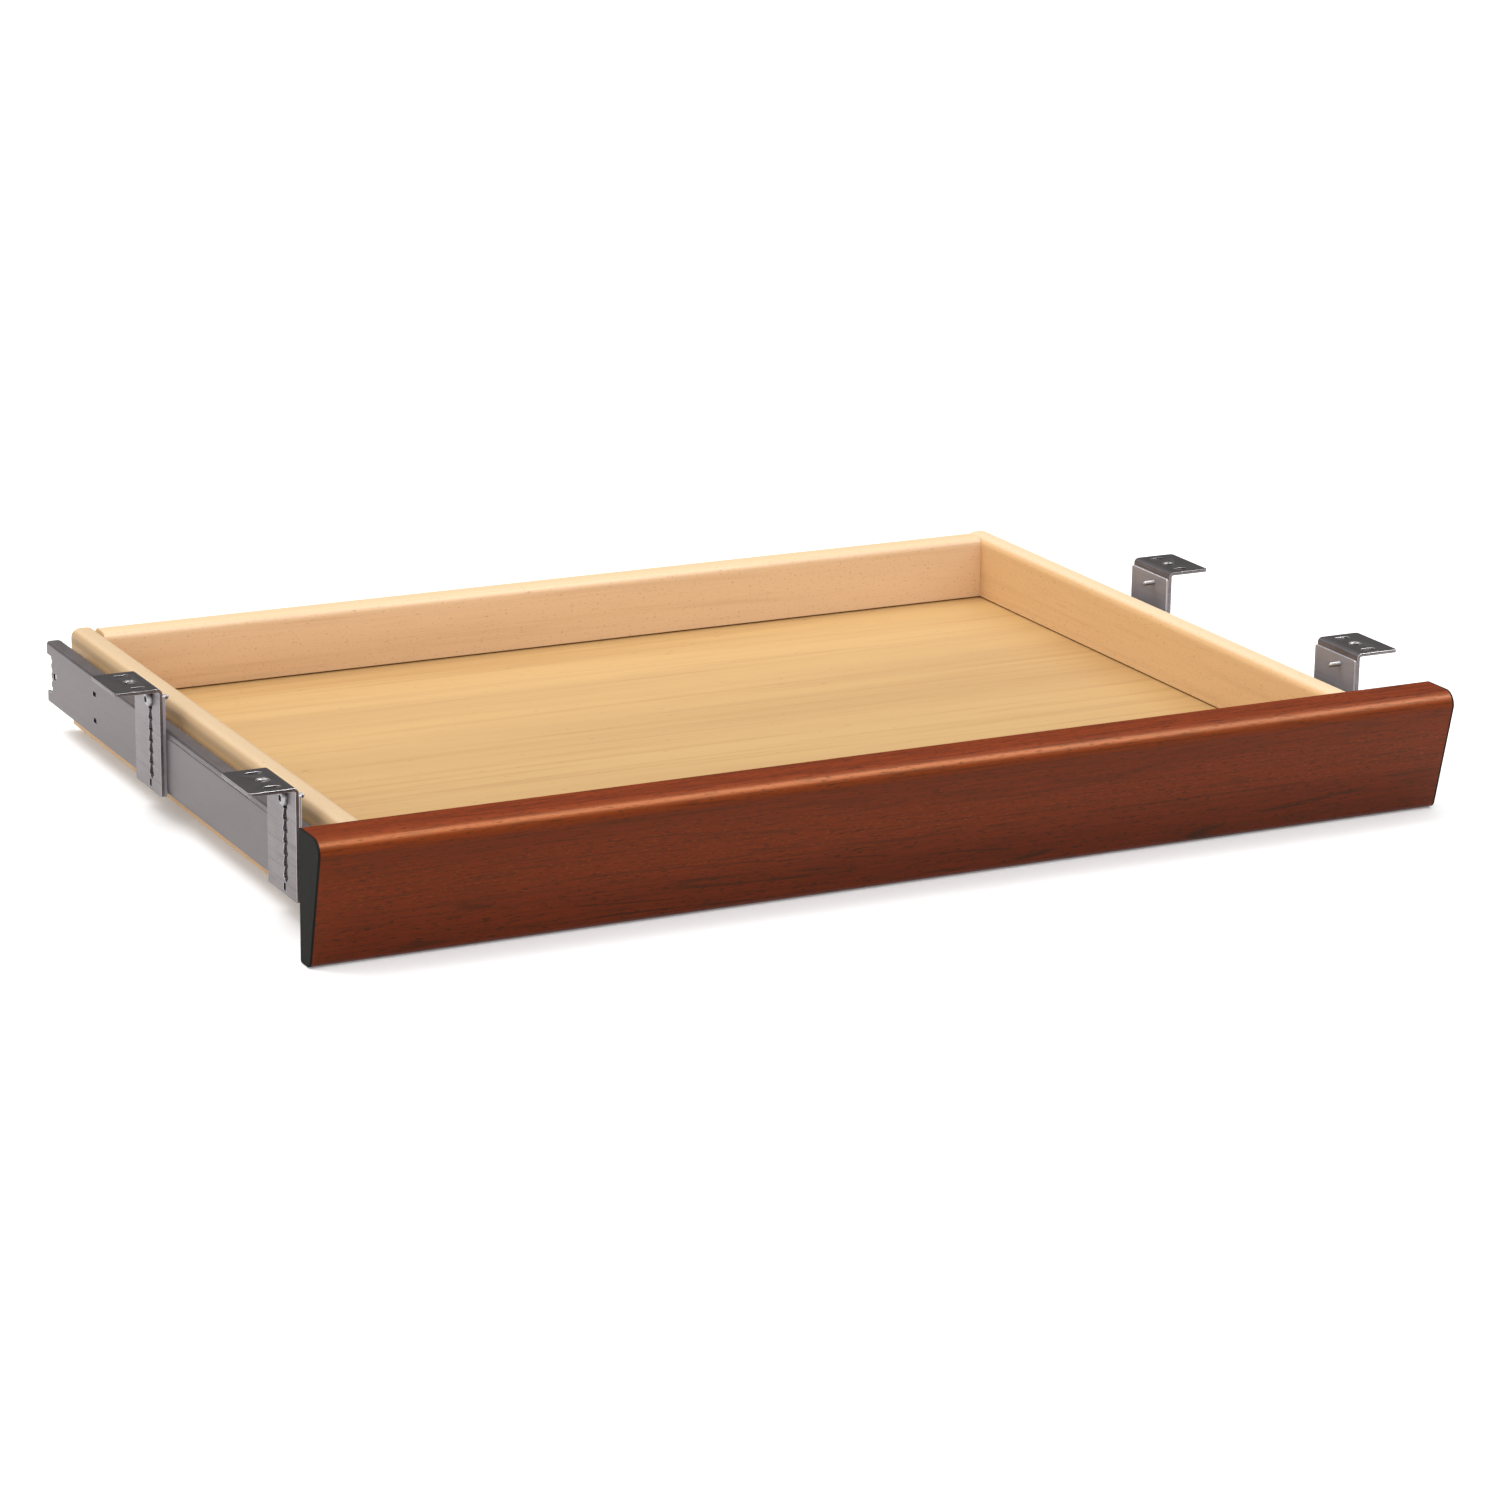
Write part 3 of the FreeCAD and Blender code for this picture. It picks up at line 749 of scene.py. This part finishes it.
@dataclass(frozen=True)
class ScrewKind:
    """The sizes of one kind of pan-head screw, apart from its length and the width of its head."""

    shank_radius: float
    head_height: float
    thread_pitch: float
    thread_depth: float
    plain_length: float
    tip_length: float
    recess_radius: float
    recess_depth: float
    recess_lobes: int
    lobe_depth: float
    thread_rings: int

    def inputs(self, length: float, head_radius: float) -> dict[str, Number]:
        """The screw tree's named inputs for a length under the head and a head's radius."""
        sizes = {name.replace("_", " ").title(): value for name, value in asdict(self).items()}
        return {**sizes, "Shank Length": length, "Head Radius": head_radius}


CLAMP_SCREW = ScrewKind(
    shank_radius=1.25 * MM, head_height=2.2 * MM, thread_pitch=0.6 * MM, thread_depth=0.26 * MM,
    plain_length=2.4 * MM, tip_length=0.7 * MM, recess_radius=1.75 * MM, recess_depth=1.3 * MM,
    recess_lobes=6, lobe_depth=0.22, thread_rings=150)
WOOD_SCREW = ScrewKind(
    shank_radius=1.7 * MM, head_height=2.0 * MM, thread_pitch=1.5 * MM, thread_depth=0.5 * MM,
    plain_length=2.0 * MM, tip_length=3.5 * MM, recess_radius=1.8 * MM, recess_depth=1.2 * MM,
    recess_lobes=4, lobe_depth=0.66, thread_rings=120)


def screw_tree() -> GeometryGraph:
    """A pan-head screw: domed head with a lobed recess, shank with a helical thread."""
    thread_fade, tip_share, least_girth = 0.4 * MM, 0.35, 0.0001
    g = GeometryGraph("pan_head_screw", WOOD_SCREW.inputs(12.0 * MM, 3.5 * MM))
    shank = g.node("GeometryNodeMeshCylinder", {"fill_type": "TRIANGLE_FAN"}, {
        "Vertices": 28, "Side Segments": g.given("Thread Rings"), "Fill Segments": 1,
        "Radius": g.given("Shank Radius"), "Depth": g.given("Shank Length")}, "Mesh")
    x, y, z = g.position()
    length = g.given("Shank Length")
    below_seat = length * 0.5 - z
    turn = g.angle_round_z(x, y) / (2 * math.pi)
    tooth = abs((z / g.given("Thread Pitch") - turn).fraction() * 2.0 - 1.0)
    threaded = ((below_seat - g.given("Plain Length")) / thread_fade).at_least(0.0).at_most(1.0)
    to_tip = ((length - below_seat) / g.given("Tip Length")).at_least(0.0).at_most(1.0)
    cut = g.given("Thread Depth") / g.given("Shank Radius")
    shrink = (1.0 - cut * threaded * tooth) * (tip_share + to_tip * (1.0 - tip_share))
    shank = g.moved_to(shank, g.vector(x * shrink, y * shrink, SEAT_SINK - below_seat))

    dome = g.node("GeometryNodeMeshUVSphere", {}, {"Segments": 36, "Rings": 24, "Radius": 1.0}, "Mesh")
    x, y, z = g.position()
    girth = ((x * x + y * y) ** 0.5).at_least(least_girth)
    spread = g.given("Head Radius") * girth ** (-1 / 3)
    lift = g.given("Head Height") * z.at_least(0.0) ** (2 / 3)
    dome = g.moved_to(dome, g.vector(x * spread, y * spread, lift))

    recess = g.node("GeometryNodeMeshCylinder", {"fill_type": "NGON"}, {
        "Vertices": 32, "Side Segments": 1, "Fill Segments": 1,
        "Radius": g.given("Recess Radius"), "Depth": g.given("Head Height") * 2.0}, "Mesh")
    x, y, z = g.position()
    lobes = 0.5 - (g.angle_round_z(x, y) * g.given("Recess Lobes")).cosine() * 0.5
    narrow = 1.0 - g.given("Lobe Depth") * lobes
    above = z + g.given("Head Height") * 2.0 - g.given("Recess Depth")
    recess = g.moved_to(recess, g.vector(x * narrow, y * narrow, above))
    head = g.node("GeometryNodeMeshBoolean", {"operation": "DIFFERENCE", "solver": "EXACT"},
                  {"Mesh 1": dome, "Mesh 2": recess}, "Mesh")
    g.finish(g.node("GeometryNodeJoinGeometry", {}, {"Geometry": [head, shank]}))
    return g


def ball_tree() -> GeometryGraph:
    """A steel ball."""
    g = GeometryGraph("slide_ball", {"Ball Radius": 2.0 * MM})
    ball = g.node("GeometryNodeMeshUVSphere", {}, {
        "Segments": 28, "Rings": 18, "Radius": g.given("Ball Radius")}, "Mesh")
    g.finish(ball)
    return g


def dowel_tree() -> GeometryGraph:
    """A fluted dowel with bevelled ends, lying from its seat along its outward direction."""
    end_share = 0.8
    g = GeometryGraph("fluted_dowel", {
        "Dowel Radius": 3.0 * MM, "Dowel Length": 24.0 * MM, "Flutes": 14, "Flute Depth": 0.25 * MM,
        "End Bevel": 1.2 * MM})
    rod = g.node("GeometryNodeMeshCylinder", {"fill_type": "TRIANGLE_FAN"}, {
        "Vertices": 84, "Side Segments": 24, "Fill Segments": 1,
        "Radius": g.given("Dowel Radius"), "Depth": g.given("Dowel Length")}, "Mesh")
    x, y, z = g.position()
    wave = 0.5 - (g.angle_round_z(x, y) * g.given("Flutes")).cosine() * 0.5
    to_end = ((g.given("Dowel Length") * 0.5 - abs(z)) / g.given("End Bevel")).at_least(0.0).at_most(1.0)
    fluted = 1.0 - wave * g.given("Flute Depth") / g.given("Dowel Radius")
    shrink = fluted * (end_share + to_end * (1.0 - end_share))
    rod = g.moved_to(rod, g.vector(x * shrink, y * shrink, z + g.given("Dowel Length") * 0.5))
    g.finish(rod)
    return g


# ---- Meshes from the frame
def smooth_by_angle(mesh: Mesh, degrees: float) -> None:
    """Shade a mesh smooth, with edges sharper than an angle kept sharp."""
    mesh.polygons.foreach_set("use_smooth", [True] * len(mesh.polygons))
    mesh.set_sharp_from_angle(angle=math.radians(degrees))


@dataclass(frozen=True)
class Softened:
    """Turns a CAD node into a finished piece: merged, smooth-shaded, its edges rounded and marked."""

    bevel: float = 0.2 * MM
    segments: int = 2
    sharp_degrees: float = 32.0
    flat_degrees: float = 0.4
    merge_distance: float = 0.001 * MM
    rim_slot: int = 1

    def make(self, node: str, finish: Material) -> Object:
        """Make the piece that stands for a node.

        Args:
            node: The CAD node's name.
            finish: Its material.

        Returns:
            The piece, with the bevel applied.
        """
        name = node + "_finished"
        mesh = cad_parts[node].data.copy()
        work = bmesh.new()
        work.from_mesh(mesh)
        bmesh.ops.remove_doubles(work, verts=work.verts, dist=self.merge_distance)
        bmesh.ops.dissolve_limit(
            work, angle_limit=math.radians(self.flat_degrees), use_dissolve_boundaries=False,
            verts=work.verts, edges=work.edges)
        work.to_mesh(mesh)
        work.free()
        mesh.materials.clear()
        for _ in range(self.rim_slot + 1):
            mesh.materials.append(finish)
        mesh.polygons.foreach_set("material_index", [0] * len(mesh.polygons))
        piece = placed(name, mesh)
        smooth_by_angle(mesh, self.sharp_degrees)
        rounding = piece.modifiers.new("edge_rounding", "BEVEL")
        rounding.width = self.bevel
        rounding.segments = self.segments
        rounding.limit_method = "ANGLE"
        rounding.angle_limit = math.radians(self.sharp_degrees)
        rounding.use_clamp_overlap = True
        rounding.harden_normals = True
        rounding.material = self.rim_slot
        self.mark_rims(applied(piece, rounding, name))
        return piece

    def mark_rims(self, mesh: Mesh) -> None:
        """Keep which faces are rounded edges as an attribute, and go back to one material."""
        rims = [float(face.material_index == self.rim_slot) for face in mesh.polygons]
        mesh.polygons.foreach_set("material_index", [0] * len(rims))
        mesh.materials.pop(index=self.rim_slot)
        mesh.attributes.new(RIM, "FLOAT", "FACE").data.foreach_set("value", rims)

    def dress(self, node: str, finish: Material, body: str) -> None:
        """Make the piece that stands for a node and hand it over."""
        hand_over(self.make(node, finish), body, node)


def hand_over(piece: Object, body: str, node: str) -> None:
    """Fix a finished piece to its body and let it stand for its CAD node.

    Args:
        piece: The finished object.
        body: The body that carries it.
        node: The CAD node that it replaces.
    """
    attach(piece, body)
    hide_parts(node)
    LOG.info("%s rides on %s for %s: %d faces", piece.name, body, node, len(piece.data.polygons))


def middle(node: str) -> Vector:
    """The middle of a node's box."""
    low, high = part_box(node)
    return (low + high) / 2


# ---- Sub-assemblies
@dataclass
class FrontPanel:
    """The leaning front panel and its two end bands."""

    panel_bevel: float = 0.25 * MM
    band_bevel: float = 0.3 * MM
    band_segments: int = 3

    def build(self) -> None:
        """Make and dress the pieces."""
        cherry = CherryLaminate().build()
        Softened(self.panel_bevel).dress("front_panel", cherry, "drawer")
        band_finish = CharcoalBand().build()
        for side in Side:
            band = Softened(self.band_bevel, self.band_segments)
            band.dress(side.node("end_band"), band_finish, "drawer")


@dataclass
class DrawerBox:
    """Side boards, rear board, sub-front, floor and the dowels in the corners."""

    board_bevel: float = 0.35 * MM
    floor_bevel: float = 0.15 * MM
    edge_depth: float = 1.9 * MM
    dowel_radius: float = 3.0 * MM
    dowel_length: float = 12.0 * MM

    def board_finish(self, name: str, grain: GrainAxis, **changes: object) -> Material:
        """The beech-look laminate of one kind of board.

        Args:
            name: The material's name.
            grain: The way its grain runs.
            changes: Other fields of the finish.

        Returns:
            The material.
        """
        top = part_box("rear_board")[1].z
        values = {
            "body": (0.74, 0.510, 0.310), "warm": (0.78, 0.545, 0.335), "line": (0.52, 0.315, 0.165),
            "edge": (0.62, 0.465, 0.27), "edge_from": top - self.edge_depth,
            "edge_to": top - self.edge_depth / 3, "fleck_strength": 0.60}
        return PaleBoard(name=name, grain=grain, **{**values, **changes}).build()

    def side_finish(self, side: Side) -> Material:
        """The laminate of one side board: lighter on the right and darker on the left as painted light and
        shade, and on the left a painted shade on the outer face above the slide.

        Args:
            side: The board's side.

        Returns:
            The material.
        """
        if side is Side.LEFT:
            # painted shade: the left board gets darker colours, and its outer face above the slide a darker,
            # greyer one
            changes = {
                "body": (0.605, 0.385, 0.192), "warm": (0.640, 0.415, 0.210), "line": (0.42, 0.232, 0.098),
                "edge": (0.53, 0.395, 0.245), "outer": (0.41, 0.276, 0.150),
                "outer_x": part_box("left_side_board")[0].x, "outer_z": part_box("left_outer_slide")[1].z}
        else:
            # painted light: the right board gets lighter colours
            changes = {
                "body": (0.670, 0.426, 0.210), "warm": (0.710, 0.458, 0.230), "line": (0.50, 0.285, 0.126),
                "edge": (0.66, 0.515, 0.335)}
        stretch = (900.0, 500.0, 1300.0)
        return self.board_finish(side.node("board_finish"), GrainAxis.Y, fleck_stretch=stretch, **changes)

    def build(self) -> None:
        """Make and dress the pieces."""
        cross = self.board_finish("cross_board_finish", GrainAxis.X)
        # painted shade: through front_shade, the floor panel is darker near the front panel
        floor = PaleBoard(
            name="floor_panel_finish", grain=GrainAxis.X, body=(0.480, 0.290, 0.118),
            warm=(0.540, 0.340, 0.139), line=(0.37, 0.198, 0.073), fleck_strength=0.10, streak_strength=0.42,
            front_shade=0.26, tick_strength=0.5, fleck_stretch=(200.0, 900.0, 900.0)).build()
        board = Softened(self.board_bevel)
        for node in ("rear_board", "sub_front"):
            board.dress(node, cross, "drawer")
        for side in Side:
            board.dress(side.node("side_board"), self.side_finish(side), "drawer")
        Softened(self.floor_bevel).dress("floor_panel", floor, "drawer")
        self.build_dowels()

    def build_dowels(self) -> None:
        """Make the fluted dowels that pin the four corners."""
        low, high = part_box("corner_dowels")
        finish = PaleBoard(
            name="dowel_finish", grain=GrainAxis.X, body=(0.60, 0.36, 0.17), warm=(0.66, 0.41, 0.20),
            line=(0.40, 0.21, 0.09)).build()
        inner_x = high.x - self.dowel_length
        heights = (low.z + self.dowel_radius, high.z - self.dowel_radius)
        depths = (middle("sub_front").y, middle("rear_board").y)
        seats = [
            (Vector((side.sign * inner_x, y, z)), side.outward)
            for side in Side for y in depths for z in heights]
        sizes = {"Dowel Radius": self.dowel_radius, "Dowel Length": self.dowel_length}
        dowels = PointItems(dowel_tree(), finish).make("fluted_corner_dowels", seats, sizes)
        hand_over(dowels, "drawer", "corner_dowels")


@dataclass
class Slides:
    """Outer and inner slide members, ball cages, balls and rear bumpers of both sides."""

    rail_bevel: float = 0.14 * MM
    foot_line: float = 1.2 * MM
    cage_bevel: float = 0.06 * MM
    bumper_bevel: float = 0.3 * MM
    ball_radius: float = 2.0 * MM
    balls_per_row: int = 7

    def build(self) -> None:
        """Make and dress the pieces."""
        # painted shade: a dark line foot_line high along the slides' lower edge
        sheet = ZincSheet(foot_to=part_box("left_outer_slide")[0].z + self.foot_line).build()
        cage_sheet = ZincSheet(
            name="cage_steel_finish", body=(0.50, 0.49, 0.49), bright=(0.6, 0.59, 0.59),
            dull=(0.36, 0.35, 0.35), roughness=0.24).build()
        nylon = BumperNylon().build()
        steel = BrightSteel("ball_steel_finish", (0.74, 0.74, 0.75), (0.6, 0.6, 0.6), roughness=0.07)
        balls = PointItems(ball_tree(), steel.build())
        rail = Softened(self.rail_bevel)
        for side in Side:
            rail.dress(side.node("outer_slide"), sheet, "rails")
            rail.dress(side.node("inner_slide"), sheet, "drawer")
            cage = Softened(self.cage_bevel)
            cage.dress(side.node("ball_cage"), cage_sheet, side.node("balls"))
            Softened(self.bumper_bevel).dress(side.node("slide_bumper"), nylon, "rails")
            self.build_balls(side, balls)

    def build_balls(self, side: Side, items: PointItems) -> None:
        """Make one side's two rows of balls.

        Args:
            side: The side.
            items: What makes the balls.
        """
        node = side.node("slide_balls")
        low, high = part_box(node)
        radius = self.ball_radius
        first, last = low.y + radius, high.y - radius
        step = (last - first) / (self.balls_per_row - 1)
        seats = [
            (Vector(((low.x + high.x) / 2, first + i * step, z)), Vector((0, 0, 1)))
            for z in (low.z + radius, high.z - radius) for i in range(self.balls_per_row)]
        piece = items.make(node + "_finished", seats, {"Ball Radius": radius})
        hand_over(piece, side.node("balls"), node)


@dataclass
class HangingGear:
    """Desk brackets, clip plates and the screws of the whole drawer."""

    bracket_bevel: float = 0.30 * MM
    flange_depth: float = 0.8 * MM

    def build(self) -> None:
        """Make and dress the pieces."""
        # painted dark reflection: the brackets' flange tops are darkened above flange_foot
        flange_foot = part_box("left_front_desk_bracket")[1].z - self.flange_depth
        sheet = ZincSheet(
            name="bracket_zinc_finish", body=(0.160, 0.138, 0.141), bright=(0.205, 0.180, 0.184),
            dull=(0.050, 0.042, 0.043), roughness=0.27, contrast=1.8, top_shade=0.75,
            top_from=flange_foot).build()
        plate = ZincSheet(
            name="clip_plate_finish", body=(0.270, 0.258, 0.282), bright=(0.300, 0.285, 0.312),
            dull=(0.18, 0.170, 0.186), roughness=0.40, metallic=0.40).build()
        screws = PointItems(screw_tree(), BrightSteel("screw_zinc_finish").build())
        pressed = Softened(self.bracket_bevel)
        for side in Side:
            for place in ("front", "rear"):
                pressed.dress(side.node(f"{place}_desk_bracket"), sheet, "desk_brackets")
                pressed.dress(side.node(f"{place}_clip_plate"), plate, "rails")
                node = side.node(f"{place}_clamp_screw")
                self.build_screws(node, "rails", CLAMP_SCREW, side.outward, [middle(node).y], screws)
            node = side.node("slide_screws")
            self.build_screws(node, "drawer", WOOD_SCREW, side.outward, self.spots_along(node, 1), screws)
        node = "front_panel_screws"
        spots = self.spots_along(node, 0)
        self.build_screws(node, "drawer", WOOD_SCREW, Vector((0, 1, 0)), spots, screws)

    @staticmethod
    def build_screws(node: str, body: str, kind: ScrewKind, outward: Vector, spots: Sequence[float],
                     items: PointItems) -> None:
        """Make the screws of one node, which stand in a level row and all face across it.

        Args:
            node: The CAD node.
            body: The body that carries it.
            kind: The screws' sizes.
            outward: The way that their heads face, along X or Y.
            spots: Their places along the row.
            items: What makes them.
        """
        low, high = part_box(node)
        facing, row = (0, 1) if outward.x else (1, 0)
        face = high if outward[facing] > 0 else low
        seat = (low + high) / 2
        seat[facing] = face[facing] - outward[facing] * kind.head_height
        seats = []
        for spot in spots:
            seat[row] = spot
            seats.append((seat.copy(), outward))
        length = high[facing] - low[facing] - kind.head_height + SEAT_SINK
        piece = items.make(node + "_finished", seats, kind.inputs(length, (high.z - low.z) / 2))
        hand_over(piece, body, node)

    @staticmethod
    def spots_along(node: str, axis: int) -> list[float]:
        """Centres of the separate screws of a grouped node along one axis.

        Args:
            node: The grouped node.
            axis: 0 for X, 1 for Y.

        Returns:
            The centres, in order.
        """
        low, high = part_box(node)
        reach = (high.z - low.z) / 2
        values = sorted(vertex.co[axis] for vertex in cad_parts[node].data.vertices)
        starts = [values[0]] + [b for a, b in zip(values, values[1:]) if b - a > reach]
        return [start + reach for start in starts]


# ---- Studio
@dataclass
class Studio:
    """The pale floor, the surround, the two lights and the camera.

    The surround's levels fade into each other over ranges of direction, where 1 is straight along an axis.
    """

    floor_half: float = 14.0
    floor_gap: float = 0.4 * MM
    camera_place: tuple[float, float, float] = (-0.94882, -1.91702, 0.63879)
    camera_yaw: float = -0.4668
    camera_pitch: float = -0.28539
    camera_roll: float = 0.01347
    focal_length: float = 113.264
    sensor: float = 36.0
    clip: tuple[float, float] = (0.05, 100.0)
    zenith_level: float = 1.50
    front_level: float = 0.95
    back_level: float = 0.12
    left_level: float = 0.27
    back_fade: tuple[float, float] = (-0.15, 0.55)
    zenith_fade: tuple[float, float] = (0.25, 0.80)
    left_fade: tuple[float, float] = (0.1, -0.8)
    key_strength: float = 1.15
    key_spread: float = math.radians(25.0)
    key_from: tuple[float, float, float] = (-0.32, 0.22, 0.95)
    gleam_strength: float = 4.4
    gleam_spread: float = math.radians(34.0)
    gleam_from: tuple[float, float, float] = (0.43, -0.40, 0.80)

    def build(self) -> None:
        """Set up everything that isn't part of the object."""
        bpy.context.scene.view_settings.view_transform = "Standard"
        self.build_floor()
        self.build_world()
        self.build_lights()
        self.build_camera()

    def build_floor(self) -> None:
        """A wide plain floor at the height of the panel's lower edge."""
        mesh = bpy.data.meshes.new("studio_floor")
        reach = self.floor_half
        ends = ((-reach, -reach), (reach, -reach), (reach, reach), (-reach, reach))
        corners = [(x, y, -self.floor_gap) for x, y in ends]
        mesh.from_pydata(corners, [], [(0, 1, 2, 3)])
        mesh.materials.append(StudioPaper().build())
        placed("studio_floor", mesh)

    def build_world(self) -> None:
        """A soft surround, dimmer behind the object, white where the camera looks straight at it."""
        world = bpy.data.worlds.new("studio_surround")
        bpy.context.scene.world = world
        world.use_nodes = True
        world.node_tree.nodes.clear()
        g = Graph(world.node_tree)
        x, y, z = g.parts(g.node("ShaderNodeTexCoord", output="Generated"))
        low = self.front_level + (self.back_level - self.front_level) * y.step(*self.back_fade)
        overhead = z.step(*self.zenith_fade)
        level = low * (1.0 - overhead) + self.zenith_level * overhead
        level = level + self.left_level * x.step(*self.left_fade)
        seen = g.node("ShaderNodeLightPath", output="Is Camera Ray")
        strength = level * (1.0 - seen) + seen
        light = g.node("ShaderNodeBackground", {}, {"Color": WHITE, "Strength": strength})
        g.raw("ShaderNodeOutputWorld", {}, {"Surface": light})

    def build_lights(self) -> None:
        """A wide key light overhead, and a gleam that only shows as a highlight on glossy edges."""
        self.add_sun("key_light", self.key_strength, self.key_spread, self.key_from)
        gleam = self.add_sun("gleam_light", self.gleam_strength, self.gleam_spread, self.gleam_from)
        gleam.visible_diffuse = False

    @staticmethod
    def add_sun(name: str, strength: float, spread: float, direction: Sequence[float]) -> Object:
        """Add one soft distant light.

        Args:
            name: The light's name.
            strength: Its strength.
            spread: The angle it covers in the sky.
            direction: Where it shines from.

        Returns:
            The light's object.
        """
        data = bpy.data.lights.new(name, "SUN")
        data.energy = strength
        data.angle = spread
        lamp = placed(name, data)
        lamp.rotation_euler = Vector(direction).to_track_quat("Z", "Y").to_euler()
        return lamp

    def build_camera(self) -> None:
        """A long-lens camera from the front left, a little above the drawer."""
        data = bpy.data.cameras.new("studio_camera")
        data.sensor_width = self.sensor
        data.lens = self.focal_length
        data.clip_start, data.clip_end = self.clip
        camera = placed("studio_camera", data)
        turn = (
            Matrix.Rotation(self.camera_yaw, 4, "Z")
            @ Matrix.Rotation(math.pi / 2 + self.camera_pitch, 4, "X")
            @ Matrix.Rotation(self.camera_roll, 4, "Z"))
        camera.matrix_world = Matrix.Translation(self.camera_place) @ turn
        bpy.context.scene.camera = camera


def main() -> None:
    """Build the studio, then every sub-assembly in order."""
    logging.basicConfig(level=logging.INFO, format="%(message)s")
    Studio().build()
    FrontPanel().build()
    DrawerBox().build()
    Slides().build()
    HangingGear().build()


if __name__ == "__main__":
    main()
